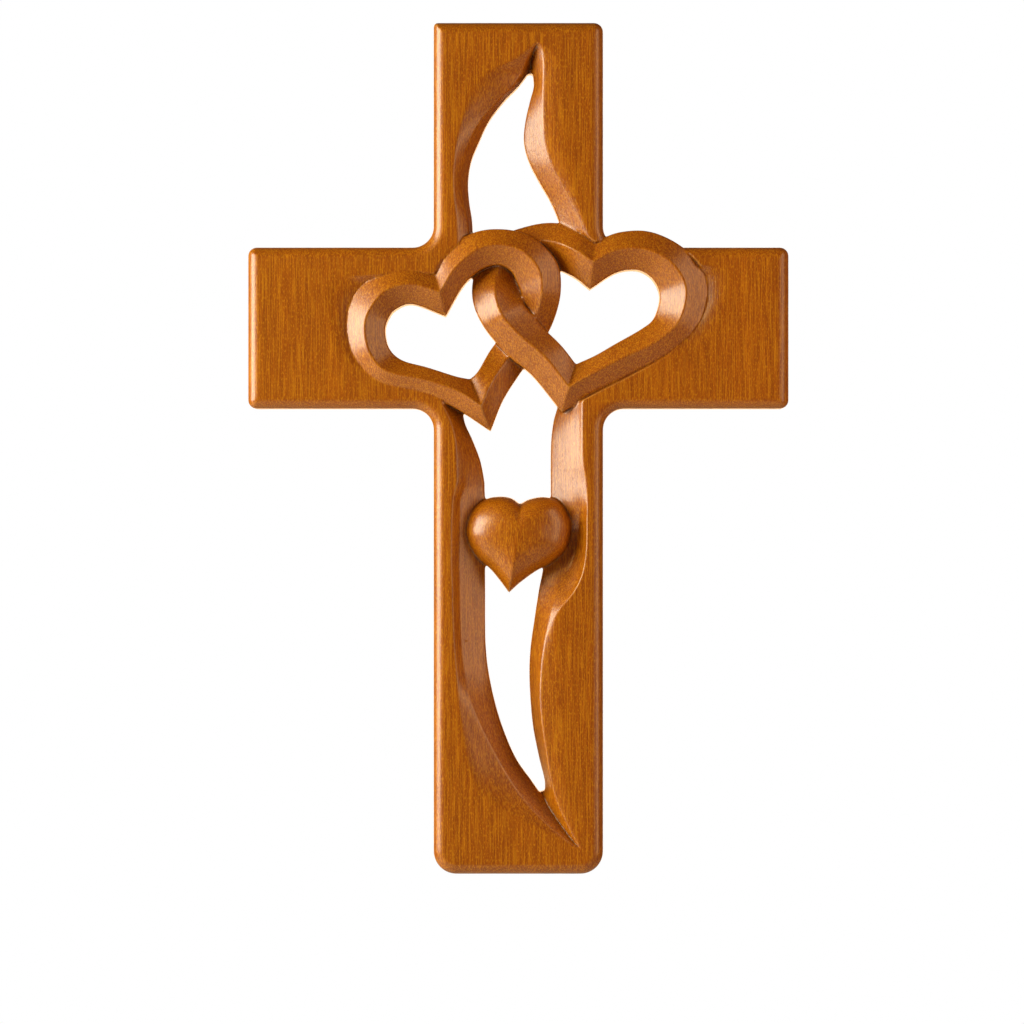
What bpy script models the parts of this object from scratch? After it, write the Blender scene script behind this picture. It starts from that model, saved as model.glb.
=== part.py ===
"""Wall cross carved from one board: a pair of interlaced open hearts at the crossing,
a flame-shaped opening above them, and a long opening below that a small heart bridges.

Metres, +X right, +Z up, the carved face towards -Y. The back is the plane y = 0, and the
origin lies on it, on the centre line, just under the blind hole that the cross hangs on.
"""
from math import cos, pi, radians, sin

import bmesh
import bpy
from mathutils import Vector

# The board
CROSS_HEIGHT = 0.300
CROSS_WIDTH = 0.1905
STEM_WIDTH = 0.0597
ARM_HEIGHT = 0.0568
ARM_CENTRE_DROP = 0.1076        # from the top end down to the middle of the arms
FACE_DEPTH = 0.0170             # back to the flat face of stem and arms
TOTAL_DEPTH = 0.0200            # back to the ridges of the hearts
FRONT_ROUND = 0.0042
BACK_CHAMFER = 0.0008
TOP_CORNER_LEFT = 0.0014
TOP_CORNER_RIGHT = 0.0032
ARM_CORNER = 0.0030
CROTCH_FILLET = 0.0075
FOOT_CORNER = 0.0080
SMALLEST_CORNER = 0.0004
CORNER_STEPS = 6                # facets of a rounded corner
BAND_STEPS = 4                  # sections for each station of a heart's band
ROW_STEPS = 2                   # sections for each row of an opening
OUTLINE_STEPS = 2               # corners for each point of the small heart's outline
ROUND_STEPS = 3                 # facets of the rounded front edge

# The hanging hole and the point where the back bears on the wall
HOLE_DIAMETER = 0.0045
HOLE_DEPTH = 0.0080
HOLE_DROP = 0.0070              # hole's centre below the top end
ORIGIN_DROP = 0.0140            # origin below the top end

# The carving
HEART_PAIR_WIDTH = 0.1278
RIDGE_SLOPE = 0.65              # fall of a heart band for each unit of its half width
UNDER_SINK = 0.0075             # full sink of a ridge that passes under the other heart
SMALL_HEART_WIDTH = 0.0373
SMALL_HEART_RIM = 0.0095        # back to the edge of its dome
BREAK_DEPTH = 0.0138            # back to the line where an opening's left side steepens
LEFT_EDGE_DEPTH = 0.0085        # back to the left edge of an opening
RIGHT_CREASE_DEPTH = 0.0160     # back to the crease on an opening's right side
FLAME_EDGE_DEPTH = 0.0112       # back to the right edge of the flame-shaped opening
LONG_EDGE_DEPTH = 0.0080        # back to the right edge of the long opening
DIP_SINK = 0.0032               # dips in the arms beside the hearts, below the face
SEAT = 0.0004                   # how far a heart's band reaches into the board round it

OVERSHOOT = 0.0030              # how far cutters run past what they cut
RUN_ON = 0.0006                 # how far a slope runs on past an opening's edge
RUN_ON_SHARE = 1 / 3            # but by no more than this share of the opening's width
LIFT = 0.0003                   # how far a slope runs on above the face
DIP_STEPS = 4                   # facets across a dip
DIP_CURVE = 2.0                 # a dip's fall grows with this power of the way across
DOME_ANGLES = (0, 24, 46, 66, 82)   # levels of the small heart, degrees up from its rim
HOLE_SEGMENTS = 24
SHARP_ANGLE = radians(32)

# The carving is drawn on a grid of squares, columns to the right and rows down.
# The stem's centre line and the arms' centre line cross at GRID_COLUMN, GRID_ROW.
GRID_COLUMN = 518.4
GRID_ROW = 327.75
GRID_TOP = 22.0
GRID_FOOT = 874.5
GRID_STEM = 169.5
GRID_HEART_PAIR = 363.0
GRID_SMALL_HEART = 106.0

crossing_height = ORIGIN_DROP - ARM_CENTRE_DROP
top_height = ORIGIN_DROP
foot_height = ORIGIN_DROP - CROSS_HEIGHT

# A heart's band by stations from its cleft to its tip:
# outer edge, ridge, inner edge (column, row each), and how far the ridge sinks
# where the band passes under the other one, as a share of its full relief.
LEFT_HEART = (
    (   # left branch
        (434, 273, 440, 292, 445.5, 316, 0.0),
        (405, 268.5, 410, 284, 413, 304, 0.0),
        (375, 276, 385, 291, 396, 309, 0.0),
        (352, 300, 368, 313, 388, 319, 0.0),
        (346, 330, 365, 333, 385, 331, 0.0),
        (354, 361, 371, 355, 389, 348, 0.0),
        (380, 383, 387, 371, 402, 360, 0.0),
        (420, 393, 425, 379.5, 428, 367.5, 0.0),
        (455, 408, 457, 390.5, 455, 376, 0.0),
        (490.5, 431, 481, 406, 470, 379, 0.0),
    ),
    (   # right branch, under the other heart on its way down
        (434, 273, 440, 292, 445.5, 316, 0.0),
        (445, 254, 455, 268, 463, 286, 0.0),
        (470, 234, 477, 249.5, 480, 270, 0.0),
        (500, 229, 500, 244.5, 498, 264.5, 0.0),
        (530, 236, 523, 251.5, 511, 271, 0.0),
        (556, 260, 539, 270, 517, 282, 0.0),
        (561, 290, 542, 293, 522, 296, 0.2),
        (553, 322, 535, 317, 518, 313, 0.75),
        (538, 348, 521, 339, 504, 332, 1.0),
        (520, 373, 505, 361, 490, 350, 0.85),
        (503, 400, 490, 385, 478, 371, 0.25),
        (490.5, 431, 481, 406, 470, 379, 0.0),
    ),
)
RIGHT_HEART = (
    (   # left branch, under the other heart at the top
        (595, 241, 593, 262, 590, 289, 0.0),
        (577, 229, 576, 251, 575, 277, 0.15),
        (555, 222, 555, 242, 557, 268, 0.6),
        (528, 225, 532, 241, 540, 262, 0.95),
        (498, 237, 510, 251, 526, 266, 1.0),
        (478, 262, 498, 270, 522, 279, 0.9),
        (472, 295, 495, 292, 523, 292, 0.3),
        (483, 325, 502, 315, 524, 304, 0.0),
        (508, 355, 522, 337, 543, 327, 0.0),
        (533, 376, 545, 357, 561, 345, 0.0),
        (562, 412, 569, 387, 576, 364, 0.0),
    ),
    (   # right branch
        (595, 241, 593, 262, 590, 289, 0.0),
        (620, 232, 618, 249.5, 615, 273, 0.0),
        (650, 231.5, 644, 249, 635, 269.5, 0.0),
        (680, 245, 667, 259, 649, 275, 0.0),
        (702, 267, 682, 277, 658, 287, 0.0),
        (709, 295, 686, 297, 660, 300, 0.0),
        (700, 325, 678, 322, 654, 318, 0.0),
        (672, 353, 657, 341, 642, 328.5, 0.0),
        (635, 374.5, 625, 356.5, 615, 344, 0.0),
        (598, 393, 596, 371.5, 596, 355, 0.0),
        (562, 412, 569, 387, 576, 364, 0.0),
    ),
)

# Openings by rows: row, then the columns of the left crease, the left break, the left
# edge, the right edge, the right crease and the outer crease, how deep the edges are
# there, and how deep the left break and the right crease are, as shares of full depth.
FLAME_ROWS = (
    (42, 536, 536.5, 537, 538, 540, 542, 0.0, 0.0, 1.0),
    (50, 526, 531.5, 534, 536, 542.5, 556, 0.4, 0.5, 1.0),
    (60, 511, 526.5, 530.5, 534, 543.5, 564, 0.75, 0.8, 1.0),
    (71, 488, 522, 528, 533, 543.5, 568, 1.0, 1.0, 1.0),
    (85, 474, 512.5, 518, 533.8, 543, 568, 1.0, 1.0, 1.0),
    (100, 467, 498, 503.5, 530, 543, 568, 1.0, 1.0, 1.0),
    (120, 461, 481, 488.5, 525.5, 543.6, 568, 1.0, 1.0, 1.0),
    (140, 456.5, 470, 479, 524, 545, 569, 1.0, 1.0, 1.0),
    (160, 454, 463.5, 471, 529, 550, 571, 1.0, 1.0, 1.0),
    (180, 453, 461, 468, 539, 559, 575, 1.0, 1.0, 1.0),
    (200, 454, 463, 469, 550.5, 569, 580, 1.0, 1.0, 1.0),
    (220, 456, 467.5, 472, 559, 578, 586, 1.0, 1.0, 1.0),
    (245, 457, 470, 473, 566, 589, 594, 1.0, 1.0, 1.0),
)
FLAME_HOLE_TOP = (530.5, 71.5)
LONG_ROWS = (
    (352, 438, 443, 462, 560, 580, 584, 1.0, 1.0, 1.0),
    (395, 440, 444, 462, 560, 580, 584, 1.0, 1.0, 1.0),
    (420, 450, 456, 464, 554, 580, 584, 1.0, 1.0, 1.0),
    (440, 455, 462.5, 472.5, 551.5, 580, 584, 1.0, 1.0, 1.0),
    (460, 456, 466, 480, 551, 580, 585, 1.0, 1.0, 1.0),
    (480, 456.5, 466, 484, 551, 582.5, 588, 1.0, 1.0, 1.0),
    (500, 452.5, 460, 485, 551, 582.5, 588, 1.0, 1.0, 1.0),
    (510, 451.8, 459.7, 485, 549.8, 582, 587, 1.0, 1.0, 1.4),
    (519, 451.4, 459.3, 485, 549, 580.5, 586.5, 1.0, 1.0, 3.8),
    (531, 451, 459, 485, 548, 579, 586.5, 1.0, 1.0, 6.8),
    (550, 451, 459, 485, 546, 576, 586, 1.0, 1.0, 7.6),
    (568, 451, 459, 485, 543.5, 570, 583.5, 1.0, 1.0, 7.0),
    (581, 451.5, 459.5, 485, 541, 565, 580.5, 1.0, 1.0, 5.4),
    (591, 452, 459.5, 485, 539, 561.5, 577.5, 1.0, 1.0, 3.6),
    (600, 452, 459.5, 485, 537.6, 558.5, 575, 1.0, 1.0, 2.2),
    (610, 452.3, 459.7, 485, 536, 555, 573.5, 1.0, 1.0, 1.3),
    (622, 453, 460, 485, 534.3, 551.5, 573, 1.0, 1.0, 1.0),
    (645, 454, 461, 485.5, 531, 545, 572, 1.0, 1.0, 1.0),
    (670, 456, 463.5, 488, 529.5, 541, 570, 1.05, 0.9, 1.0),
    (700, 458, 470.5, 494, 530.5, 540, 569, 1.15, 0.68, 0.9),
    (730, 461, 483, 503, 533.5, 542.5, 569, 1.25, 0.75, 0.8),
    (760, 466, 498.5, 516, 539.5, 547, 570, 1.3, 0.95, 0.75),
    (783, 474, 512, 532, 545, 551, 571, 1.25, 0.95, 0.8),
    (800, 488, 524, 543.5, 545, 556, 573, 0.95, 0.9, 1.0),
    (812, 506, 534.5, 550.5, 551.5, 561, 575, 0.7, 0.8, 1.0),
    (826, 532, 549, 560, 561, 568, 578, 0.45, 0.7, 1.0),
    (840, 560, 566, 571, 572, 575, 582, 0.2, 0.5, 1.0),
    (851, 580.5, 581, 581.5, 582, 582.5, 583.5, 0.0, 0.0, 1.0),
)
LONG_HOLE_FOOT = (540, 793.5)

SMALL_HEART_RIGHT = (
    (520, 504), (530, 499), (545, 497), (560, 502), (570, 517), (571, 530),
    (566, 548), (552, 562), (535, 572), (520, 583), (509, 593),
)
SMALL_HEART_LEFT = (
    (520, 504), (511, 498), (498, 496.5), (484, 500), (471, 512), (465, 529),
    (468, 543), (477, 557), (490, 569), (500, 581), (509, 593),
)
SMALL_HEART_CENTRE = (518, 532)

# Dips in the arms beside the hearts: row, outer column, inner column, share of the sink
LEFT_DIP = (
    (275, 323, 380, 0.0),
    (281, 321, 376, 0.75),
    (288, 320, 370, 1.0),
    (300, 321, 358, 0.9),
    (320, 325, 353, 0.75),
    (340, 328, 353, 0.55),
    (356, 332, 358, 0.3),
    (370, 338, 370, 0.0),
)
RIGHT_DIP = (
    (265, 729, 696, 0.0),
    (271, 730, 698, 0.75),
    (278, 730, 700, 1.0),
    (295, 729, 703, 0.9),
    (315, 725, 699, 0.7),
    (335, 718, 687, 0.45),
    (350, 710, 670, 0.2),
    (360, 702, 655, 0.0),
)

WOOD_COLOUR = (0.36, 0.105, 0.012, 1.0)
WOOD_ROUGHNESS = 0.38


def heart_point(column, row, depth, centre=(GRID_COLUMN, GRID_ROW), step=None):
    """A point of the hearts' drawing, on the hearts' own scale about the crossing."""
    step = step or HEART_PAIR_WIDTH / GRID_HEART_PAIR
    middle = stem_point(centre[0], centre[1], 0.0)
    return Vector((
        middle.x + (column - centre[0]) * step,
        -depth,
        middle.z - (row - centre[1]) * step,
    ))


def stem_point(column, row, depth):
    """A point of the openings' drawing, stretched to the stem's width and length."""
    x = (column - GRID_COLUMN) * STEM_WIDTH / GRID_STEM
    if row < GRID_ROW:
        run = (top_height - crossing_height) / (GRID_ROW - GRID_TOP)
    else:
        run = (crossing_height - foot_height) / (GRID_FOOT - GRID_ROW)
    return Vector((x, -depth, crossing_height - (row - GRID_ROW) * run))


def smooth_rows(rows, steps):
    """Rows of numbers read from a smooth curve through the given rows."""
    first = [2 * a - b for a, b in zip(rows[0], rows[1])]
    last = [2 * a - b for a, b in zip(rows[-1], rows[-2])]
    padded = [first, *rows, last]
    result = []
    for i in range(1, len(padded) - 2):
        for k in range(steps):
            result.append(curve_row(padded[i - 1:i + 3], k / steps))
    result.append(list(rows[-1]))
    return result


def curve_row(four, t):
    """One row between the middle two of four rows."""
    weights = (
        -0.5 * t + t**2 - 0.5 * t**3,
        1 - 2.5 * t**2 + 1.5 * t**3,
        0.5 * t + 2 * t**2 - 1.5 * t**3,
        -0.5 * t**2 + 0.5 * t**3,
    )
    return [sum(w * row[i] for w, row in zip(weights, four)) for i in range(len(four[0]))]


def loft(name, sections, closed=False):
    """A closed solid through sections with equal numbers of points."""
    bm = bmesh.new()
    rings = [[bm.verts.new(point) for point in section] for section in sections]
    pairs = list(zip(rings, rings[1:]))
    if closed:
        pairs.append((rings[-1], rings[0]))
    else:
        bm.faces.new(rings[0])
        bm.faces.new(rings[-1])
    for one, two in pairs:
        for i in range(len(one)):
            j = (i + 1) % len(one)
            bm.faces.new((one[i], one[j], two[j], two[i]))
    bmesh.ops.recalc_face_normals(bm, faces=bm.faces)
    return new_object(name, bm)


def new_object(name, bm):
    mesh = bpy.data.meshes.new(name)
    bm.to_mesh(mesh)
    bm.free()
    return bpy.data.objects.new(name, mesh)


def prism(name, points):
    """A cutter with the given outline that runs through the whole board."""
    back = [Vector((p.x, OVERSHOOT, p.z)) for p in points]
    front = [Vector((p.x, -TOTAL_DEPTH - OVERSHOOT, p.z)) for p in points]
    return loft(name, (back, front))


def rounded_outline(corners, inset):
    """The outline (x, z) of a shape with rounded corners, drawn in by an inset."""
    points = []
    count = len(corners)
    for i, (x, z, radius) in enumerate(corners):
        here = Vector((x, z))
        before = (Vector(corners[i - 1][:2]) - here).normalized()
        after = (Vector(corners[(i + 1) % count][:2]) - here).normalized()
        convex = before.x * after.y < before.y * after.x
        inward = (before + after) if convex else -(before + after)
        corner = here + inward * inset
        radius = max(radius - inset, SMALLEST_CORNER) if convex else radius + inset
        middle = corner + (before + after) * radius
        for k in range(CORNER_STEPS + 1):
            angle = pi / 2 * k / CORNER_STEPS
            points.append(middle - after * radius * cos(angle) - before * radius * sin(angle))
    return points


def board():
    """The cross-shaped board, with its front edges rounded and its back edges eased."""
    stem = STEM_WIDTH / 2
    arm = CROSS_WIDTH / 2
    above = crossing_height + ARM_HEIGHT / 2
    below = crossing_height - ARM_HEIGHT / 2
    corners = (
        (-stem, top_height, TOP_CORNER_LEFT),
        (-stem, above, CROTCH_FILLET),
        (-arm, above, ARM_CORNER),
        (-arm, below, ARM_CORNER),
        (-stem, below, CROTCH_FILLET),
        (-stem, foot_height, FOOT_CORNER),
        (stem, foot_height, FOOT_CORNER),
        (stem, below, CROTCH_FILLET),
        (arm, below, ARM_CORNER),
        (arm, above, ARM_CORNER),
        (stem, above, CROTCH_FILLET),
        (stem, top_height, TOP_CORNER_RIGHT),
    )
    levels = [(BACK_CHAMFER, 0.0), (0.0, BACK_CHAMFER)]
    for k in range(ROUND_STEPS + 1):
        angle = pi / 2 * k / ROUND_STEPS
        inset = FRONT_ROUND * (1 - cos(angle))
        levels.append((inset, FACE_DEPTH - FRONT_ROUND * (1 - sin(angle))))
    sections = []
    for inset, depth in levels:
        outline = rounded_outline(corners, inset)
        sections.append([Vector((p.x, -depth, p.y)) for p in outline])
    return loft("cross", sections)


def opening_section(row, right_edge_depth):
    """The cutter's section at one row: slopes down to both edges of an opening."""
    height, crease, left_break, left, right, fold, outer, share, break_share, fold_share = row

    def at(column, depth, share=share):
        return stem_point(column, height, FACE_DEPTH + (depth - FACE_DEPTH) * share)

    crease_point = at(crease, FACE_DEPTH)
    break_point = at(left_break, BREAK_DEPTH, share * break_share)
    left_point = at(left, LEFT_EDGE_DEPTH)
    right_point = at(right, right_edge_depth)
    fold_point = at(fold, RIGHT_CREASE_DEPTH, share * fold_share)
    outer_point = at(outer, FACE_DEPTH)
    run_on = min(RUN_ON, (right_point.x - left_point.x) * RUN_ON_SHARE)
    left_end = extended(break_point, left_point, run_on)
    right_end = extended(fold_point, right_point, run_on)
    bottom = (left_end + right_end) / 2
    bottom.y = max(left_end.y, right_end.y) + run_on
    left_top = lifted(break_point, crease_point)
    right_top = lifted(fold_point, outer_point)
    front = -TOTAL_DEPTH - OVERSHOOT
    return [
        Vector((left_top.x, front, left_top.z)),
        left_top, break_point, left_end, bottom, right_end, fold_point, right_top,
        Vector((right_top.x, front, right_top.z)),
    ]


def extended(start, end, distance):
    """The line from start to end, run on sideways by a distance."""
    width = abs(end.x - start.x)
    return end + (end - start) * (distance / max(width, distance))


def lifted(start, end):
    """The line from start to end, run on until it stands above the face."""
    rise = max(start.y - end.y, LIFT)
    point = end + (end - start) * (LIFT / rise)
    point.y = end.y - LIFT
    return point


def opening_cutters(name, rows, end, right_edge_depth):
    """The sloped relief round an opening, and the hole through the board to its end."""
    fine = smooth_rows(rows, ROW_STEPS)
    sections = [opening_section(row, right_edge_depth) for row in fine]
    relief = loft(name + "_relief", sections)
    if end[1] < GRID_ROW:
        inside = [row for row in fine if row[0] > end[1]]
    else:
        inside = [row for row in reversed(fine) if row[0] < end[1]]
    left = [stem_point(row[3], row[0], 0.0) for row in inside]
    right = [stem_point(row[4], row[0], 0.0) for row in reversed(inside)]
    tip = stem_point(*end, 0.0)
    return relief, prism(name + "_hole", [tip, *left, *right])


def heart_band(name, branches):
    """An open heart: a band of ridged section round its cleft and tip."""
    left, right = (smooth_rows(branch, BAND_STEPS) for branch in branches)
    sections = [band_section(row) for row in left + right[-2:0:-1]]
    return loft(name, sections, closed=True)


def band_section(row):
    outer_column, outer_row, ridge_column, ridge_row, inner_column, inner_row, sink = row
    top = TOTAL_DEPTH - UNDER_SINK * max(sink, 0.0)
    ridge = heart_point(ridge_column, ridge_row, top)
    outer = heart_point(outer_column, outer_row, top)
    inner = heart_point(inner_column, inner_row, top)
    outer.y += RIDGE_SLOPE * (outer - ridge).length
    inner.y += RIDGE_SLOPE * (inner - ridge).length
    return [
        Vector((outer.x, 0.0, outer.z)), outer, ridge, inner,
        Vector((inner.x, 0.0, inner.z)),
    ]


def heart_seat(name, branches):
    """The cutter that clears the board inside a heart's outer edge."""
    left, right = (smooth_rows(branch, BAND_STEPS) for branch in branches)
    outline = []
    for row in left + right[-2:0:-1]:
        edge = heart_point(row[0], row[1], 0.0)
        ridge = heart_point(row[2], row[3], 0.0)
        outline.append(edge + (ridge - edge).normalized() * SEAT)
    return prism(name, outline)


def small_heart():
    """The solid heart that bridges the long opening, domed from its rim."""
    step = SMALL_HEART_WIDTH / GRID_SMALL_HEART
    right = smooth_rows(SMALL_HEART_RIGHT, OUTLINE_STEPS)
    left = smooth_rows(SMALL_HEART_LEFT, OUTLINE_STEPS)
    outline = right + left[-2:0:-1]
    rise = TOTAL_DEPTH - SMALL_HEART_RIM
    levels = [(1.0, 0.0)]
    for angle in DOME_ANGLES:
        turn = radians(angle)
        levels.append((cos(turn), SMALL_HEART_RIM + rise * sin(turn)))
    sections = []
    for share, depth in levels:
        section = []
        for column, row in outline:
            middle_column, middle_row = SMALL_HEART_CENTRE
            column = middle_column + (column - middle_column) * share
            row = middle_row + (row - middle_row) * share
            section.append(heart_point(column, row, depth, SMALL_HEART_CENTRE, step))
        sections.append(section)
    return loft("small_heart", sections)


def dip(name, rows):
    """The cutter of a dip: its floor falls from the outer column to the inner one."""
    sections = []
    for row, outer, inner, share in rows:
        floor = []
        for k in range(DIP_STEPS + 1):
            way = k / DIP_STEPS
            fall = DIP_SINK * share * way**DIP_CURVE
            floor.append(heart_point(outer + (inner - outer) * way, row, FACE_DEPTH + LIFT - fall))
        front = [heart_point(column, row, TOTAL_DEPTH + OVERSHOOT) for column in (inner, outer)]
        sections.append([*floor, *front])
    return loft(name, sections)


def hanging_hole():
    """The blind round hole in the back."""
    bm = bmesh.new()
    radius = HOLE_DIAMETER / 2
    length = HOLE_DEPTH + OVERSHOOT
    bmesh.ops.create_cone(bm, cap_ends=True, segments=HOLE_SEGMENTS,
                          radius1=radius, radius2=radius, depth=length)
    for vert in bm.verts:
        x, y, z = vert.co
        vert.co = (x, z + OVERSHOOT - length / 2, ORIGIN_DROP - HOLE_DROP - y)
    bmesh.ops.recalc_face_normals(bm, faces=bm.faces)
    return new_object("hanging_hole", bm)


def combine(target, tool, operation, tools):
    """Adds a live Boolean to the target and files its tool away."""
    tools.objects.link(tool)
    tool.hide_render = True
    tool.display_type = "WIRE"
    step = target.modifiers.new(tool.name, "BOOLEAN")
    step.object = tool
    step.operation = operation
    step.solver = "MANIFOLD"    # the exact solver leaves inner faces where the bands cross


def wood():
    material = bpy.data.materials.new("lacquered_wood")
    material.use_nodes = True
    shader = material.node_tree.nodes["Principled BSDF"]
    shader.inputs["Base Color"].default_value = WOOD_COLOUR
    shader.inputs["Roughness"].default_value = WOOD_ROUGHNESS
    shader.inputs["Metallic"].default_value = 0.0
    material.diffuse_color = WOOD_COLOUR
    return material


def build():
    for thing in list(bpy.data.objects):
        bpy.data.objects.remove(thing)
    parts = bpy.data.collections.new("wall_cross")
    tools = bpy.data.collections.new("carving_tools")
    bpy.context.scene.collection.children.link(parts)
    bpy.context.scene.collection.children.link(tools)

    cross = board()
    parts.objects.link(cross)
    cross.data.materials.append(wood())

    cutters = [
        *opening_cutters("flame", FLAME_ROWS, FLAME_HOLE_TOP, FLAME_EDGE_DEPTH),
        *opening_cutters("long_opening", LONG_ROWS, LONG_HOLE_FOOT, LONG_EDGE_DEPTH),
        heart_seat("left_heart_seat", LEFT_HEART),
        heart_seat("right_heart_seat", RIGHT_HEART),
        dip("left_dip", LEFT_DIP),
        dip("right_dip", RIGHT_DIP),
    ]
    for cutter in cutters:
        combine(cross, cutter, "DIFFERENCE", tools)
    added = [
        heart_band("left_heart", LEFT_HEART),
        heart_band("right_heart", RIGHT_HEART),
        small_heart(),
    ]
    for tool in added:
        combine(cross, tool, "UNION", tools)
    combine(cross, hanging_hole(), "DIFFERENCE", tools)

    cross.data.shade_smooth()
    cross.data.set_sharp_from_angle(angle=SHARP_ANGLE)


build()
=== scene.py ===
from math import cos, pi, radians, sin

import bmesh
import bpy
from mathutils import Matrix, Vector


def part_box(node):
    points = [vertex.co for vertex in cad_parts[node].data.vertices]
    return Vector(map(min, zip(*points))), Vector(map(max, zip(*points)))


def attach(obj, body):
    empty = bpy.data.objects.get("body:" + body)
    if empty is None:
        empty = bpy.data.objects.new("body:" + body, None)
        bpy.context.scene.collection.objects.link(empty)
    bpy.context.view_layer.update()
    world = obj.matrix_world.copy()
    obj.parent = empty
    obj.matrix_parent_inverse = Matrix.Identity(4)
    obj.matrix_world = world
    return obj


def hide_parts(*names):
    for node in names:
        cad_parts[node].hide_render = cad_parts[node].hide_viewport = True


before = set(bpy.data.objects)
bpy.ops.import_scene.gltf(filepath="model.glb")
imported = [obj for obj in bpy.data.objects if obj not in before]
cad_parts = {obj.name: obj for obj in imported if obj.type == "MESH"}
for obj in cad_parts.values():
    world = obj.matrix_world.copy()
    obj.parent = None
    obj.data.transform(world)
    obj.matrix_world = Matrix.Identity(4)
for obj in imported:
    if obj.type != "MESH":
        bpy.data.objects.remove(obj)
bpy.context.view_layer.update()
crossLow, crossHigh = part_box("cross")
print("frame loaded, the cross is", round((crossHigh.z - crossLow.z) * 1000), "mm tall")


# drawing
# The carving is drawn on squares, columns to the right and rows down. One square is the
# cross's height over its rows. The centre lines of stem and arms meet at column, row.
drawing = {
    "column": 518.4,
    "row": 327.75,
    "topRow": 22.0,
    "footRow": 874.5,
    "stemColumns": 169.5,
    "heartColumns": 363.0,
    "smallHeartColumns": 106.0,
    "imageSquares": 1024,
}

board = {
    "stemWidth": 0.0597,
    "armHeight": 0.0568,
    "armCentreDrop": 0.1076,       # m, top end to the middle of the arms
    "faceDepth": 0.0170,           # m, back to the flat face
    "frontRound": 0.0042,
    "backRound": 0.0008,
    "topLeftCorner": 0.0014,
    "topRightCorner": 0.0032,
    "armCorner": 0.0030,
    "crotchFillet": 0.0075,
    "footCorner": 0.0080,
    "smallestCorner": 0.0004,
    "cornerSteps": 14,
    "roundSteps": 8,
    "overshoot": 0.0030,           # m, how far cutters run past what they cut
}

topHeight = crossHigh.z
footHeight = crossLow.z
crossingHeight = topHeight - board["armCentreDrop"]
fullDepth = -crossLow.y
square = (topHeight - footHeight) / (drawing["footRow"] - drawing["topRow"])


def stemPoint(column, row, depth):
    # a place in the openings' drawing, stretched to the stem
    x = (column - drawing["column"]) * board["stemWidth"] / drawing["stemColumns"]
    if row < drawing["row"]:
        run = (topHeight - crossingHeight) / (drawing["row"] - drawing["topRow"])
    else:
        run = (crossingHeight - footHeight) / (drawing["footRow"] - drawing["row"])
    return Vector((x, -depth, crossingHeight - (row - drawing["row"]) * run))


def curveRow(four, t):
    # one row of numbers on the smooth curve between the middle two of four rows
    weights = (
        -0.5 * t + t**2 - 0.5 * t**3,
        1 - 2.5 * t**2 + 1.5 * t**3,
        0.5 * t + 2 * t**2 - 1.5 * t**3,
        -0.5 * t**2 + 0.5 * t**3,
    )
    return [sum(w * row[i] for w, row in zip(weights, four)) for i in range(len(four[0]))]


def smoothRows(rows, steps):
    first = [2 * a - b for a, b in zip(rows[0], rows[1])]
    last = [2 * a - b for a, b in zip(rows[-1], rows[-2])]
    padded = [first, *rows, last]
    result = []
    for i in range(1, len(padded) - 2):
        for k in range(steps):
            result.append(curveRow(padded[i - 1:i + 3], k / steps))
    result.append(list(rows[-1]))
    return result


def newObject(name, bm):
    mesh = bpy.data.meshes.new(name)
    bm.to_mesh(mesh)
    bm.free()
    return bpy.data.objects.new(name, mesh)


def loft(name, sections, closed=False):
    # a closed solid through sections that have the same number of points
    bm = bmesh.new()
    rings = [[bm.verts.new(point) for point in section] for section in sections]
    pairs = list(zip(rings, rings[1:]))
    if closed:
        pairs.append((rings[-1], rings[0]))
    else:
        bm.faces.new(rings[0])
        bm.faces.new(rings[-1])
    for one, two in pairs:
        for i in range(len(one)):
            j = (i + 1) % len(one)
            bm.faces.new((one[i], one[j], two[j], two[i]))
    bmesh.ops.recalc_face_normals(bm, faces=bm.faces)
    return newObject(name, bm)


def prism(name, points):
    # runs through the whole board
    front = -fullDepth - board["overshoot"]
    back = board["overshoot"]
    sections = [[Vector((p.x, y, p.z)) for p in points] for y in (back, front)]
    return loft(name, sections)


# board
def roundedOutline(corners, inset):
    points = []
    for i, (x, z, radius) in enumerate(corners):
        here = Vector((x, z))
        before = (Vector(corners[i - 1][:2]) - here).normalized()
        after = (Vector(corners[(i + 1) % len(corners)][:2]) - here).normalized()
        convex = before.x * after.y < before.y * after.x
        inward = (before + after) if convex else -(before + after)
        corner = here + inward * inset
        if convex:
            radius = max(radius - inset, board["smallestCorner"])
        else:
            radius = radius + inset
        middle = corner + (before + after) * radius
        for k in range(board["cornerSteps"] + 1):
            angle = pi / 2 * k / board["cornerSteps"]
            points.append(middle - after * radius * cos(angle) - before * radius * sin(angle))
    return points


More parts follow.
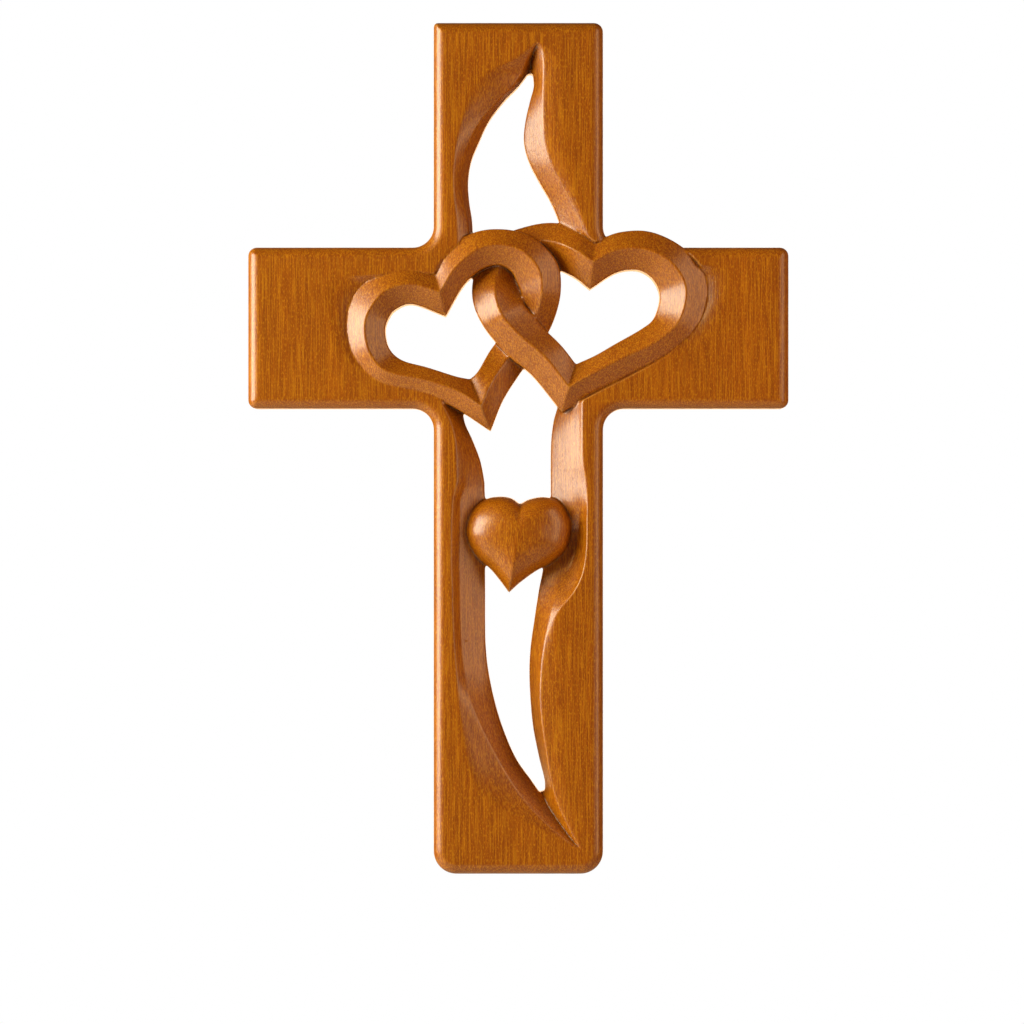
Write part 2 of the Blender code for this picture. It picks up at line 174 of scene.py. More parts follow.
def makeBoard():
    stem = board["stemWidth"] / 2
    arm = crossHigh.x
    above = crossingHeight + board["armHeight"] / 2
    below = crossingHeight - board["armHeight"] / 2
    corners = (
        (-stem, topHeight, board["topLeftCorner"]),
        (-stem, above, board["crotchFillet"]),
        (-arm, above, board["armCorner"]),
        (-arm, below, board["armCorner"]),
        (-stem, below, board["crotchFillet"]),
        (-stem, footHeight, board["footCorner"]),
        (stem, footHeight, board["footCorner"]),
        (stem, below, board["crotchFillet"]),
        (arm, below, board["armCorner"]),
        (arm, above, board["armCorner"]),
        (stem, above, board["crotchFillet"]),
        (stem, topHeight, board["topRightCorner"]),
    )
    levels = []
    for k in range(board["roundSteps"] + 1):
        angle = pi / 2 * k / board["roundSteps"]
        radius = board["backRound"]
        levels.append((radius * (1 - sin(angle)), radius * (1 - cos(angle))))
    for k in range(board["roundSteps"] + 1):
        angle = pi / 2 * k / board["roundSteps"]
        radius = board["frontRound"]
        levels.append((radius * (1 - cos(angle)), board["faceDepth"] - radius * (1 - sin(angle))))
    sections = []
    for inset, depth in levels:
        outline = roundedOutline(corners, inset)
        sections.append([Vector((p.x, -depth, p.y)) for p in outline])
    return loft("board", sections)


# openings
# Rows of an opening: row, then the columns of the left crease, the left break, the left
# edge, the right edge, the right crease and the outer crease, how deep the edges are
# there, and how deep the left break and the right crease are, as shares of full depth.
flame = {
    "rows": (
        (42, 536, 536.5, 537, 538, 540, 542, 0.0, 0.0, 1.0),
        (50, 526, 531.5, 534, 536, 542.5, 556, 0.4, 0.5, 1.0),
        (60, 511, 526.5, 530.5, 534, 543.5, 564, 0.75, 0.8, 1.0),
        (71, 488, 522, 528, 533, 543.5, 568, 1.0, 1.0, 1.0),
        (85, 474, 512.5, 518, 533.8, 543, 568, 1.0, 1.0, 1.0),
        (100, 467, 498, 503.5, 530, 543, 568, 1.0, 1.0, 1.0),
        (120, 461, 481, 488.5, 525.5, 543.6, 568, 1.0, 1.0, 1.0),
        (140, 456.5, 470, 479, 524, 545, 569, 1.0, 1.0, 1.0),
        (160, 454, 463.5, 471, 529, 550, 571, 1.0, 1.0, 1.0),
        (180, 453, 461, 468, 539, 559, 575, 1.0, 1.0, 1.0),
        (200, 454, 463, 469, 550.5, 569, 580, 1.0, 1.0, 1.0),
        (220, 456, 467.5, 472, 559, 578, 586, 1.0, 1.0, 1.0),
        (245, 457, 470, 473, 566, 589, 594, 1.0, 1.0, 1.0),
    ),
    "end": (530.5, 71.5),
    "rightEdgeDepth": 0.0112,
}
longOpening = {
    "rows": (
        (352, 438, 443, 462, 560, 580, 584, 1.0, 1.0, 1.0),
        (395, 440, 444, 462, 560, 580, 584, 1.0, 1.0, 1.0),
        (420, 450, 456, 464, 554, 580, 584, 1.0, 1.0, 1.0),
        (440, 455, 462.5, 472.5, 551.5, 580, 584, 1.0, 1.0, 1.0),
        (460, 456, 466, 480, 551, 580, 585, 1.0, 1.0, 1.0),
        (480, 456.5, 466, 484, 551, 582, 588, 1.0, 1.0, 1.15),
        (490, 454.5, 463, 484.5, 551, 581.5, 588, 1.0, 1.0, 1.5),
        (500, 452.5, 460, 485, 551, 581, 587.5, 1.0, 1.0, 2.1),
        (510, 451.8, 459.7, 485, 549.8, 580.5, 587, 1.0, 1.0, 3.2),
        (519, 451.4, 459.3, 485, 549, 580, 586.5, 1.0, 1.0, 4.7),
        (531, 451, 459, 485, 548, 579, 586.5, 1.0, 1.0, 6.8),
        (550, 451, 459, 485, 546, 576, 586, 1.0, 1.0, 7.6),
        (568, 451, 459, 485, 543.5, 570, 583.5, 1.0, 1.0, 7.0),
        (581, 451.5, 459.5, 485, 541, 564, 579.5, 1.0, 1.0, 5.4),
        (591, 452, 459.5, 485, 539, 559.5, 574, 1.0, 1.0, 3.9),
        (600, 452, 459.5, 485, 537.6, 555.5, 567.5, 1.0, 1.0, 2.7),
        (610, 452.3, 459.7, 485, 536, 551.5, 560, 1.0, 1.0, 1.8),
        (622, 453, 460, 485, 534.3, 548.5, 556, 1.0, 1.0, 1.25),
        (645, 454, 461, 485.5, 531, 544, 559, 1.0, 1.0, 1.0),
        (670, 456, 463.5, 488, 529.5, 541, 570, 1.05, 0.9, 1.0),
        (700, 458, 470.5, 494, 530.5, 540, 569, 1.15, 0.68, 0.9),
        (730, 461, 483, 503, 533.5, 542.5, 569, 1.25, 0.75, 0.8),
        (760, 466, 498.5, 516, 539.5, 547, 570, 1.3, 0.95, 0.75),
        (783, 474, 512, 532, 545, 551, 571, 1.25, 0.95, 0.8),
        (800, 488, 524, 543.5, 545, 556, 573, 0.95, 0.9, 1.0),
        (812, 506, 534.5, 550.5, 551.5, 561, 575, 0.7, 0.8, 1.0),
        (826, 532, 549, 560, 561, 568, 578, 0.45, 0.7, 1.0),
        (840, 560, 566, 571, 572, 575, 582, 0.2, 0.5, 1.0),
        (851, 580.5, 581, 581.5, 582, 582.5, 583.5, 0.0, 0.0, 1.0),
    ),
    "end": (540, 793.5),
    "rightEdgeDepth": 0.0080,
}
slopes = {
    "breakDepth": 0.0138,          # m, back to the line where the left side steepens
    "leftEdgeDepth": 0.0085,
    "rightCreaseDepth": 0.0160,
    "softWidth": 0.0080,           # m, a left fall this wide starts softly
    "softness": 0.25,              # how much softer than a straight fall it then is
    "sharpest": 0.5,               # least power of the fall from the outer crease
    "runOnShare": 1 / 3,           # of the opening's width, at most
    "runOn": 0.0006,               # m, how far a slope runs on past the edge
    "lift": 0.00005,               # m, how far above the face a slope starts
    "rowSteps": 8,
    "easeSteps": 10,
}


def extended(start, end, distance):
    width = abs(end.x - start.x)
    return end + (end - start) * (distance / max(width, distance))


def openingSection(row, rightEdgeDepth):
    height, crease, leftBreak, left, right, fold, outer, share, breakShare, foldShare = row
    face = board["faceDepth"]

    def at(column, depth, part=share):
        return stemPoint(column, height, face + (depth - face) * part)

    creasePoint = at(crease, face)
    breakPoint = at(leftBreak, slopes["breakDepth"], share * breakShare)
    leftPoint = at(left, slopes["leftEdgeDepth"])
    rightPoint = at(right, rightEdgeDepth)
    foldPoint = at(fold, slopes["rightCreaseDepth"], share * foldShare)
    outerPoint = at(outer, face)
    width = rightPoint.x - leftPoint.x
    runOn = min(slopes["runOn"], width * slopes["runOnShare"])
    leftEnd = extended(breakPoint, leftPoint, runOn)
    rightEnd = extended(foldPoint, rightPoint, runOn)
    bottom = (leftEnd + rightEnd) / 2
    bottom.y = max(leftEnd.y, rightEnd.y) + runOn
    leftTop = creasePoint - Vector((0, slopes["lift"], 0))
    wide = (breakPoint - creasePoint).length / slopes["softWidth"]
    leftPower = 1 + slopes["softness"] * min(wide, 1.0)
    gentle = []                    # the fall from the face to the break, soft where it is wide
    for k in range(1, slopes["easeSteps"]):
        t = k / slopes["easeSteps"]
        point = leftTop.lerp(breakPoint, t)
        point.y = leftTop.y + (breakPoint.y - leftTop.y) * t**leftPower
        gentle.append(point)
    rightTop = outerPoint - Vector((0, slopes["lift"], 0))
    power = max(2 / max(foldShare, 1.0), slopes["sharpest"])
    top = outerPoint.y - slopes["lift"]
    eased = []                     # shallow falls end softly at the face, deep ones sharply
    for k in range(1, slopes["easeSteps"]):
        t = k / slopes["easeSteps"]
        point = foldPoint.lerp(outerPoint, t)
        point.y = top + (foldPoint.y - top) * (1 - t)**power
        eased.append(point)
    front = -fullDepth - board["overshoot"]
    return [
        Vector((leftTop.x, front, leftTop.z)),
        leftTop, *gentle, breakPoint, leftEnd, bottom, rightEnd, foldPoint, *eased, rightTop,
        Vector((rightTop.x, front, rightTop.z)),
    ]


def openingCutters(name, opening):
    fine = smoothRows(opening["rows"], slopes["rowSteps"])
    sections = [openingSection(row, opening["rightEdgeDepth"]) for row in fine]
    relief = loft(name + "Relief", sections)
    end = opening["end"]
    if end[1] < drawing["row"]:
        inside = [row for row in fine if row[0] > end[1]]
    else:
        inside = [row for row in reversed(fine) if row[0] < end[1]]
    left = [stemPoint(row[3], row[0], 0.0) for row in inside]
    right = [stemPoint(row[4], row[0], 0.0) for row in reversed(inside)]
    return relief, prism(name + "Hole", [stemPoint(*end, 0.0), *left, *right])


# hearts
# Stations of a heart's band from its cleft to its tip: outer edge, ridge and inner edge
# (column, row each), and how far the ridge sinks under the other band.
hearts = {
    "pairWidth": 0.1278,
    "ridgeSlope": 0.65,            # fall of the band for each unit of its half width
    "underSink": 0.0075,
    "seat": 0.0004,                # m, how far a band reaches into the board round it
    "bandSteps": 12,
    "left": (
        (
            (434, 273, 440, 292, 445.5, 316, 0.0),
            (405, 268.5, 410, 284, 413, 304, 0.0),
            (375, 276, 385, 291, 396, 309, 0.0),
            (352, 300, 368, 313, 388, 319, 0.0),
            (346, 330, 365, 333, 385, 331, 0.0),
            (354, 361, 371, 355, 389, 348, 0.0),
            (380, 383, 387, 371, 402, 360, 0.0),
            (420, 393, 425, 379.5, 428, 367.5, 0.0),
            (455, 408, 457, 390.5, 455, 376, 0.0),
            (490.5, 431, 481, 406, 470, 379, 0.0),
        ),
        (
            (434, 273, 440, 292, 445.5, 316, 0.0),
            (445, 254, 455, 268, 463, 286, 0.0),
            (470, 234, 477, 249.5, 480, 270, 0.0),
            (500, 229, 500, 244.5, 498, 264.5, 0.0),
            (530, 236, 523, 251.5, 511, 271, 0.0),
            (556, 260, 539, 270, 517, 282, 0.0),
            (561, 290, 542, 293, 522, 296, 0.2),
            (553, 322, 535, 317, 518, 313, 0.75),
            (538, 348, 521, 339, 504, 332, 1.0),
            (520, 373, 505, 361, 490, 350, 0.85),
            (503, 400, 490, 385, 478, 371, 0.25),
            (490.5, 431, 481, 406, 470, 379, 0.0),
        ),
    ),
    "right": (
        (
            (595, 241, 593, 262, 590, 289, 0.0),
            (577, 229, 576, 251, 575, 277, 0.15),
            (555, 222, 555, 242, 557, 268, 0.6),
            (528, 225, 532, 241, 540, 262, 0.95),
            (498, 237, 510, 251, 526, 266, 1.0),
            (478, 262, 498, 270, 522, 279, 0.9),
            (472, 295, 495, 292, 523, 292, 0.3),
            (483, 325, 502, 315, 524, 304, 0.0),
            (508, 355, 522, 337, 543, 327, 0.0),
            (533, 376, 545, 357, 561, 345, 0.0),
            (562, 412, 569, 387, 576, 364, 0.0),
        ),
        (
            (595, 241, 593, 262, 590, 289, 0.0),
            (620, 232, 618, 249.5, 615, 273, 0.0),
            (650, 231.5, 644, 249, 635, 269.5, 0.0),
            (680, 245, 667, 259, 649, 275, 0.0),
            (702, 267, 682, 277, 658, 287, 0.0),
            (709, 295, 686, 297, 660, 300, 0.0),
            (700, 325, 678, 322, 654, 318, 0.0),
            (672, 353, 657, 341, 642, 328.5, 0.0),
            (635, 374.5, 625, 356.5, 615, 344, 0.0),
            (598, 393, 596, 371.5, 596, 355, 0.0),
            (562, 412, 569, 387, 576, 364, 0.0),
        ),
    ),
}


def heartPoint(column, row, depth):
    step = hearts["pairWidth"] / drawing["heartColumns"]
    x = (column - drawing["column"]) * step
    return Vector((x, -depth, crossingHeight - (row - drawing["row"]) * step))


def bandSection(row):
    top = fullDepth - hearts["underSink"] * max(row[6], 0.0)
    outer, ridge, inner = (heartPoint(row[i], row[i + 1], top) for i in (0, 2, 4))
    outer.y += hearts["ridgeSlope"] * (outer - ridge).length
    inner.y += hearts["ridgeSlope"] * (inner - ridge).length
    foot = [Vector((p.x, 0.0, p.z)) for p in (outer, inner)]
    return [foot[0], outer, ridge, inner, foot[1]]


def heartBand(name, branches):
    left, right = (smoothRows(branch, hearts["bandSteps"]) for branch in branches)
    around = left + right[-2:0:-1]
    band = loft(name + "Band", [bandSection(row) for row in around], closed=True)
    outline = []
    for row in around:
        edge = heartPoint(row[0], row[1], 0.0)
        ridge = heartPoint(row[2], row[3], 0.0)
        outline.append(edge + (ridge - edge).normalized() * hearts["seat"])
    return band, prism(name + "Seat", outline)


smallHeart = {
    "width": 0.0373,
    "rimDepth": 0.0095,            # m, back to the edge of the dome
    "fullness": 0.9,               # under 1 gives a flatter dome with steeper sides
    "centre": (518, 532),
    "outlineSteps": 8,
    "domeSteps": 14,
    "domeEnd": 86.0,               # degrees, 90 would close the dome to a point
    "right": (
        (520, 504), (530, 499), (545, 497), (560, 502), (570, 517), (571, 530),
        (566, 548), (552, 562), (535, 572), (520, 583), (509, 593),
    ),
    "left": (
        (520, 504), (511, 498), (498, 496.5), (484, 500), (471, 512), (465, 529),
        (468, 543), (477, 557), (490, 569), (500, 581), (509, 593),
    ),
}


def makeSmallHeart():
    step = smallHeart["width"] / drawing["smallHeartColumns"]
    right = smoothRows(smallHeart["right"], smallHeart["outlineSteps"])
    left = smoothRows(smallHeart["left"], smallHeart["outlineSteps"])
    outline = right + left[-2:0:-1]
    middle = stemPoint(*smallHeart["centre"], 0.0)
    rise = fullDepth - smallHeart["rimDepth"]
    levels = [(1.0, 0.0)]
    for k in range(smallHeart["domeSteps"]):
        angle = radians(smallHeart["domeEnd"]) * k / (smallHeart["domeSteps"] - 1)
        share = cos(angle)**smallHeart["fullness"]
        levels.append((share, smallHeart["rimDepth"] + rise * sin(angle)))
    sections = []
    for share, depth in levels:
        section = []
        for column, row in outline:
            x = middle.x + (column - smallHeart["centre"][0]) * share * step
            z = middle.z - (row - smallHeart["centre"][1]) * share * step
            section.append(Vector((x, -depth, z)))
        sections.append(section)
    return loft("smallHeart", sections)


# dips in the arms beside the hearts
# Rows of a dip: row, outer column, inner column, share of the sink.
dips = {
    "sink": 0.0032,                # m, below the face
    "curve": 2.0,                  # the fall grows with this power of the way across
    "lift": 0.00003,               # m, the floor starts this far above the face
    "steps": 20,
    "rowSteps": 4,
    "left": (
        (275, 323, 380, 0.0),
        (281, 321, 376, 0.75),
        (288, 320, 370, 1.0),
        (300, 321, 358, 0.9),
        (320, 325, 353, 0.75),
        (340, 328, 353, 0.55),
        (356, 332, 358, 0.3),
        (370, 338, 370, 0.0),
    ),
    "right": (
        (265, 729, 696, 0.0),
        (271, 730, 698, 0.75),
        (278, 730, 700, 1.0),
        (295, 729, 703, 0.9),
        (315, 725, 699, 0.7),
        (335, 718, 687, 0.45),
        (350, 710, 670, 0.2),
        (360, 702, 655, 0.0),
    ),
}


def makeDip(name, rows):
    sections = []
    for row, outer, inner, share in smoothRows(rows, dips["rowSteps"]):
        floor = []
        for k in range(dips["steps"] + 1):
            way = k / dips["steps"]
            fall = dips["sink"] * max(share, 0.0) * way**dips["curve"]
            depth = board["faceDepth"] + dips["lift"] - fall
            floor.append(heartPoint(outer + (inner - outer) * way, row, depth))
        front = fullDepth + board["overshoot"]
        edges = [heartPoint(column, row, front) for column in (inner, outer)]
        sections.append([*floor, *edges])
    return loft(name, sections)


# hanging hole in the back
hangingHole = {"diameter": 0.0045, "depth": 0.0080, "drop": 0.0070, "segments": 48}


def makeHangingHole():
    bm = bmesh.new()
    radius = hangingHole["diameter"] / 2
    length = hangingHole["depth"] + board["overshoot"]
    bmesh.ops.create_cone(
        bm, cap_ends=True, segments=hangingHole["segments"],
        radius1=radius, radius2=radius, depth=length,
    )
    for vert in bm.verts:
        x, y, z = vert.co
        height = topHeight - hangingHole["drop"] - y
        vert.co = (x, z + board["overshoot"] - length / 2, height)
    bmesh.ops.recalc_face_normals(bm, faces=bm.faces)
    return newObject("hangingHole", bm)


# carving
def carve():
    solid = makeBoard()
    bpy.context.scene.collection.objects.link(solid)
    leftBand, leftSeat = heartBand("left", hearts["left"])
    rightBand, rightSeat = heartBand("right", hearts["right"])
    steps = [(tool, "DIFFERENCE") for tool in (
        *openingCutters("flame", flame),
        *openingCutters("long", longOpening),
        leftSeat, rightSeat,
        makeDip("leftDip", dips["left"]), makeDip("rightDip", dips["right"]),
    )]
    steps += [(tool, "UNION") for tool in (leftBand, rightBand, makeSmallHeart())]
    steps.append((makeHangingHole(), "DIFFERENCE"))
    for tool, operation in steps:
        cut = solid.modifiers.new(tool.name, "BOOLEAN")
        cut.object = tool
        cut.operation = operation
        cut.solver = "MANIFOLD"
    return solid, [tool for tool, _ in steps]


# hand finish
finish = {
    "voxel": 0.00036,              # m, under half of the smallest soft edge
    "triangles": 196000,
    "softenPasses": 2,
    "waveHeight": 0.00006,         # m, unevenness that sanding leaves
    "waveSize": 0.007,
    "paintedLightPasses": 8,
    "flatBack": 0.0012,            # m, no unevenness, painted highlight or painted shade closer to the back than this
    "backFacing": 0.998,           # faces turned this straight to the back are shaded flat
}


def addNode(tree, kind, inputs=None, **settings):
    node = tree.nodes.new(kind)
    for name, value in settings.items():
        setattr(node, name, value)
    for key, value in (inputs or {}).items():
        if isinstance(value, bpy.types.NodeSocket):
            tree.links.new(value, node.inputs[key])
        else:
            node.inputs[key].default_value = value
    return node


def finishTree():
    tree = bpy.data.node_groups.new("handFinish", "GeometryNodeTree")
    face = tree.interface
    face.new_socket("Geometry", in_out="INPUT", socket_type="NodeSocketGeometry")
    face.new_socket("Soften passes", in_out="INPUT", socket_type="NodeSocketInt")
    face.new_socket("Wave height", in_out="INPUT", socket_type="NodeSocketFloat")
    face.new_socket("Wave size", in_out="INPUT", socket_type="NodeSocketFloat")
    face.new_socket("Painted light passes", in_out="INPUT", socket_type="NodeSocketInt")
    face.new_socket("Flat back", in_out="INPUT", socket_type="NodeSocketFloat")
    face.new_socket("Wood", in_out="INPUT", socket_type="NodeSocketMaterial")
    face.new_socket("Geometry", in_out="OUTPUT", socket_type="NodeSocketGeometry")
    start = addNode(tree, "NodeGroupInput")
    place = addNode(tree, "GeometryNodeInputPosition").outputs[0]
    normal = addNode(tree, "GeometryNodeInputNormal").outputs[0]
    deep = addNode(tree, "ShaderNodeSeparateXYZ", {0: place}).outputs["Y"]
    limit = addNode(tree, "ShaderNodeMath", {0: start.outputs["Flat back"], 1: -1.0},
                    operation="MULTIPLY").outputs[0]
    front = addNode(tree, "FunctionNodeCompare", {0: deep, 1: limit},
                    data_type="FLOAT", operation="LESS_THAN").outputs[0]
    softer = addNode(tree, "GeometryNodeBlurAttribute",
                     {"Value": place, "Iterations": start.outputs["Soften passes"]},
                     data_type="FLOAT_VECTOR")
    blurred = [s for s in softer.outputs if s.enabled][0]
    soft = addNode(tree, "GeometryNodeSetPosition",
                   {"Geometry": start.outputs["Geometry"], "Selection": front,
                    "Position": blurred})
    scale = addNode(tree, "ShaderNodeMath", {0: 1.0, 1: start.outputs["Wave size"]},
                    operation="DIVIDE").outputs[0]
    noise = addNode(tree, "ShaderNodeTexNoise",
                    {"Vector": place, "Scale": scale, "Detail": 2.0, "Roughness": 0.5})
    centred = addNode(tree, "ShaderNodeMath", {0: noise.outputs[0], 1: 0.5},
                      operation="SUBTRACT").outputs[0]
    height = addNode(tree, "ShaderNodeMath", {0: centred, 1: start.outputs["Wave height"]},
                     operation="MULTIPLY").outputs[0]
    offset = addNode(tree, "ShaderNodeVectorMath", {0: normal, "Scale": height},
                     operation="SCALE").outputs[0]
    waved = addNode(tree, "GeometryNodeSetPosition",
                    {"Geometry": soft.outputs[0], "Selection": front, "Offset": offset})
    # how proud each point stands over its blurred neighbours; the wood colour paints highlight on
    # proud ridges and shade in sunk creases from it
    mean = addNode(tree, "GeometryNodeBlurAttribute",
                   {"Value": place, "Iterations": start.outputs["Painted light passes"]},
                   data_type="FLOAT_VECTOR")
    meanPlace = [s for s in mean.outputs if s.enabled][0]
    bulge = addNode(tree, "ShaderNodeVectorMath", {0: place, 1: meanPlace},
                    operation="SUBTRACT").outputs[0]
    proud = addNode(tree, "ShaderNodeVectorMath", {0: bulge, 1: normal},
                    operation="DOT_PRODUCT").outputs["Value"]
    store = addNode(tree, "GeometryNodeStoreNamedAttribute",
                    {"Geometry": waved.outputs[0], "Selection": front, "Name": "proud",
                     "Value": proud},
                    data_type="FLOAT", domain="POINT")
    real = addNode(tree, "GeometryNodeRealizeInstances", {0: store.outputs[0]})
    smooth = addNode(tree, "GeometryNodeSetShadeSmooth", {0: real.outputs[0]})
    wood = addNode(tree, "GeometryNodeSetMaterial",
                   {"Geometry": smooth.outputs[0], "Material": start.outputs["Wood"]})
    addNode(tree, "NodeGroupOutput", {0: wood.outputs[0]})
    return tree


def evaluated(thing, name):
    graph = bpy.context.evaluated_depsgraph_get()
    mesh = bpy.data.meshes.new_from_object(thing.evaluated_get(graph))
    mesh.name = name
    return bpy.data.objects.new(name, mesh)


def triangleCount(mesh):
    return sum(len(polygon.vertices) - 2 for polygon in mesh.polygons)


def finishCarving(solid, tools, wood):
    remesh = solid.modifiers.new("evenMesh", "REMESH")
    remesh.mode = "VOXEL"
    remesh.voxel_size = finish["voxel"]
    tree = finishTree()
    hand = solid.modifiers.new("handFinish", "NODES")
    hand.node_group = tree
    values = {
        "Soften passes": finish["softenPasses"],
        "Wave height": finish["waveHeight"],
        "Wave size": finish["waveSize"],
        "Painted light passes": finish["paintedLightPasses"],
        "Flat back": finish["flatBack"],
        "Wood": wood,
    }
    for item in tree.interface.items_tree:
        if item.in_out == "INPUT" and item.name in values:
            hand[item.identifier] = values[item.name]
    fine = evaluated(solid, "fineCross")
    for thing in (solid, *tools):
        bpy.data.objects.remove(thing)
    print("fine mesh:", triangleCount(fine.data), "triangles")
    bpy.context.scene.collection.objects.link(fine)
    thin = fine.modifiers.new("lighter", "DECIMATE")
    thin.ratio = min(1.0, finish["triangles"] / triangleCount(fine.data))
    cross = evaluated(fine, "carvedCross")
    bpy.data.objects.remove(fine)
    for polygon in cross.data.polygons:
        polygon.use_smooth = polygon.normal.y < finish["backFacing"]
    bpy.context.scene.collection.objects.link(cross)
    print("finished mesh:", triangleCount(cross.data), "triangles")
    return cross


# materials
def hexColour(text):
    # sRGB hex to linear
    channels = []
    for i in (0, 2, 4):
        value = int(text[i:i + 2], 16) / 255
        channels.append(value / 12.92 if value <= 0.04045 else ((value + 0.055) / 1.055)**2.4)
    return (*channels, 1.0)


# Stained beech under a satin lacquer: short dark pores along the grain, a soft sheen, a
# painted highlight that lightens the ridges and painted shade that darkens the creases.
stainedBeech = {
    "face": "B26102",
    "deep": "743700",
    "pale": "D69214",
    # painted highlight: the light colour laid on proud ridges
    "edge": "F2C878",
    # painted shade: the dark colour laid in sunk creases and hollows
    "paintedCreaseShade": "4A2300",
    "marks": {                     # width and length in mm along the grain, fineness
        "tone": (14.0, 84.0, 3.0),
        "fibre": (0.36, 12.0, 1.0),
        "speck": (0.34, 1.1, 1.0),
        "streak": (0.7, 40.0, 1.0),
    },
    "poreSize": (0.42, 1.8),       # mm, width and length along the grain
    "poreEdge": (0.18, 0.42),      # a pore is deepest inside the first, gone past the second
    "tints": (                     # mark, its low and high value, share of tint at each, tint
        ("tone", 0.30, 0.70, 0.0, 0.28, "deep"),
        ("fibre", 0.50, 0.66, 0.0, 0.50, "pale"),
        ("fibre", 0.34, 0.50, 0.45, 0.0, "deep"),
        ("speck", 0.52, 0.66, 0.0, 0.60, "pale"),
        ("streak", 0.36, 0.62, 0.22, 0.0, "deep"),
        ("pore", 0.0, 1.0, 0.0, 0.28, "deep"),
        # painted highlight along the proud ridges
        ("proud", 0.00010, 0.00020, 0.0, 0.28, "edge"),
        # painted shade in the sunk creases
        ("proud", -0.00020, -0.00006, 0.80, 0.0, "paintedCreaseShade"),
    ),
    "roughness": 0.34,
    "lacquer": 0.40,
    "lacquerRoughness": 0.22,
    "ior": 1.5,
    "bump": 0.00002,               # m
}


def makeStainedBeech():
    values = stainedBeech
    material = bpy.data.materials.new("stainedBeechSatinLacquer")
    material.use_nodes = True
    tree = material.node_tree
    shader = tree.nodes["Principled BSDF"]
    place = addNode(tree, "ShaderNodeTexCoord").outputs["Object"]

    def stretched(width, length):
        scale = (1000 / width, 1000 / width, 1000 / length)
        return addNode(tree, "ShaderNodeVectorMath", {0: place, 1: scale},
                       operation="MULTIPLY").outputs[0]

    def span(value, low, high, atLow, atHigh):
        return addNode(tree, "ShaderNodeMapRange",
                       {"Value": value, "From Min": low, "From Max": high,
                        "To Min": atLow, "To Max": atHigh}).outputs[0]

    def blend(share, under, over):
        node = addNode(tree, "ShaderNodeMix", data_type="RGBA")
        for socket, value in zip((0, 6, 7), (share, under, over)):
            if isinstance(value, bpy.types.NodeSocket):
                tree.links.new(value, node.inputs[socket])
            else:
                node.inputs[socket].default_value = value
        return node.outputs[2]

    marks = {}
    for name, (width, length, detail) in values["marks"].items():
        marks[name] = addNode(tree, "ShaderNodeTexNoise",
                              {"Vector": stretched(width, length), "Scale": 1.0,
                               "Detail": detail}).outputs[0]
    pore = addNode(tree, "ShaderNodeTexVoronoi",
                   {"Vector": stretched(*values["poreSize"]), "Scale": 1.0})
    marks["pore"] = span(pore.outputs["Distance"], *values["poreEdge"], 1.0, 0.0)
    # the proud measure drives the painted highlight and the painted shade
    marks["proud"] = addNode(tree, "ShaderNodeAttribute", attribute_name="proud").outputs["Fac"]
    colour = hexColour(values["face"])
    for name, low, high, atLow, atHigh, tint in values["tints"]:
        share = span(marks[name], low, high, atLow, atHigh)
        colour = blend(share, colour, hexColour(values[tint]))
    tree.links.new(colour, shader.inputs["Base Color"])
    relief = addNode(tree, "ShaderNodeMath", {0: marks["fibre"], 1: marks["pore"]},
                     operation="SUBTRACT")
    bump = addNode(tree, "ShaderNodeBump",
                   {"Height": relief.outputs[0], "Distance": values["bump"],
                    "Strength": 1.0})
    tree.links.new(bump.outputs[0], shader.inputs["Normal"])
    shader.inputs["Roughness"].default_value = values["roughness"]
    shader.inputs["IOR"].default_value = values["ior"]
    shader.inputs["Coat Weight"].default_value = values["lacquer"]
    shader.inputs["Coat Roughness"].default_value = values["lacquerRoughness"]
    return material


wood = makeStainedBeech()
print("material ready")
solid, tools = carve()
cross = finishCarving(solid, tools, wood)
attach(cross, "root")
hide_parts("cross")
print("cross in place")


# studio
studio = {
    "floorDrop": 0.300,            # m under the foot of the cross
    "floorSize": (1.8, 1.2),
    "floorColour": "DAD7D2",
    "lens": 200.0,                 # mm
    "sensor": 36.0,                # mm
    "surround": "FFFFFF",
    "ambient": 0.04,
    "softboxes": (                 # name, place, size, watts, colour
        ("leftSoftbox", (-0.93, -0.31, 0.02), (0.72, 0.7), 17.5, "FFF6E0"),
        ("rightSoftbox", (0.50, -0.26, -0.04), (0.22, 0.7), 1.7, "FFD2A0"),
        ("leftFill", (-1.05, -1.05, 0.50), (0.5, 0.5), 5.2, "FFCE84"),
        ("rightFill", (0.75, -0.95, -0.20), (0.2, 0.5), 0.6, "FFD8B0"),
        ("backFill", (0.0, 1.6, -0.10), (1.0, 1.0), 9, "FFCC94"),
    ),
}


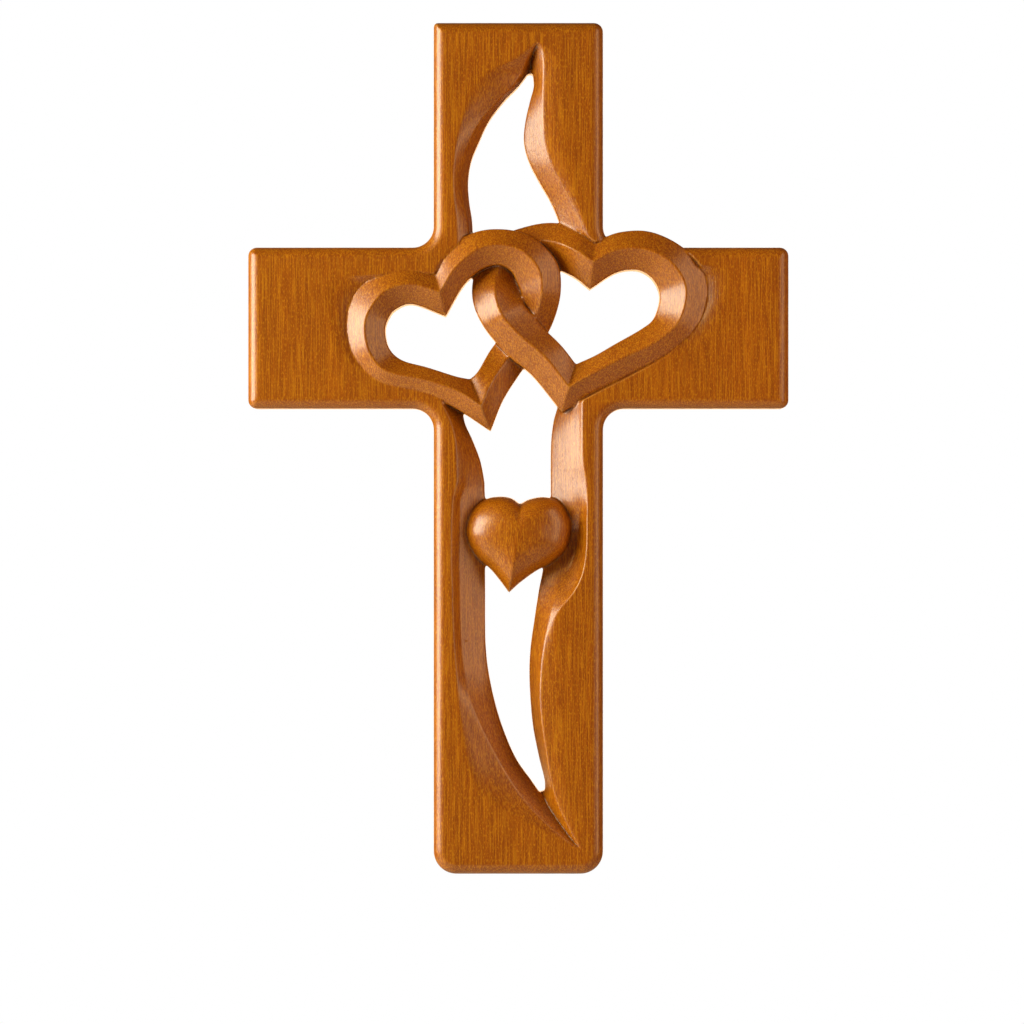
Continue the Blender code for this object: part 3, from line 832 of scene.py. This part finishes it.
def makeFloor():
    bm = bmesh.new()
    bmesh.ops.create_grid(bm, x_segments=1, y_segments=1, size=0.5)
    width, depth = studio["floorSize"]
    height = footHeight - studio["floorDrop"]
    for vert in bm.verts:
        vert.co = (vert.co.x * width, vert.co.y * depth, height)
    floor = newObject("floor", bm)
    paper = bpy.data.materials.new("matPaper")
    paper.use_nodes = True
    shader = paper.node_tree.nodes["Principled BSDF"]
    shader.inputs["Base Color"].default_value = hexColour(studio["floorColour"])
    shader.inputs["Roughness"].default_value = 0.9
    floor.data.materials.append(paper)
    bpy.context.scene.collection.objects.link(floor)


def makeCamera():
    squares = drawing["imageSquares"]
    data = bpy.data.cameras.new("camera")
    data.lens = studio["lens"]
    data.sensor_width = studio["sensor"]
    camera = bpy.data.objects.new("camera", data)
    distance = squares * square * studio["lens"] / studio["sensor"]
    aim = Vector((
        (squares / 2 - drawing["column"]) * square,
        0.0,
        crossingHeight - (squares / 2 - drawing["row"]) * square,
    ))
    camera.location = aim - Vector((0, distance + board["faceDepth"], 0))
    camera.rotation_euler = (radians(90), 0, 0)
    bpy.context.scene.collection.objects.link(camera)
    bpy.context.scene.camera = camera


def addSoftbox(name, place, size, watts, colour):
    data = bpy.data.lights.new(name, "AREA")
    data.shape = "RECTANGLE"
    data.size, data.size_y = size
    data.energy = watts
    data.color = hexColour(colour)[:3]
    light = bpy.data.objects.new(name, data)
    aim = Vector((0, 0, (topHeight + footHeight) / 2))
    light.location = place
    light.rotation_euler = (aim - Vector(place)).to_track_quat("-Z", "Y").to_euler()
    bpy.context.scene.collection.objects.link(light)


def makeWorld():
    world = bpy.data.worlds.new("studio")
    world.use_nodes = True
    tree = world.node_tree
    seen = addNode(tree, "ShaderNodeLightPath").outputs["Is Camera Ray"]
    strength = addNode(tree, "ShaderNodeMapRange",
                       {"Value": seen, "To Min": studio["ambient"], "To Max": 1.0})
    sky = tree.nodes["Background"]
    sky.inputs["Color"].default_value = hexColour(studio["surround"])
    tree.links.new(strength.outputs[0], sky.inputs["Strength"])
    bpy.context.scene.world = world


makeFloor()
makeCamera()
for softbox in studio["softboxes"]:
    addSoftbox(*softbox)
makeWorld()
bpy.context.scene.view_settings.view_transform = "Standard"
print("studio ready")
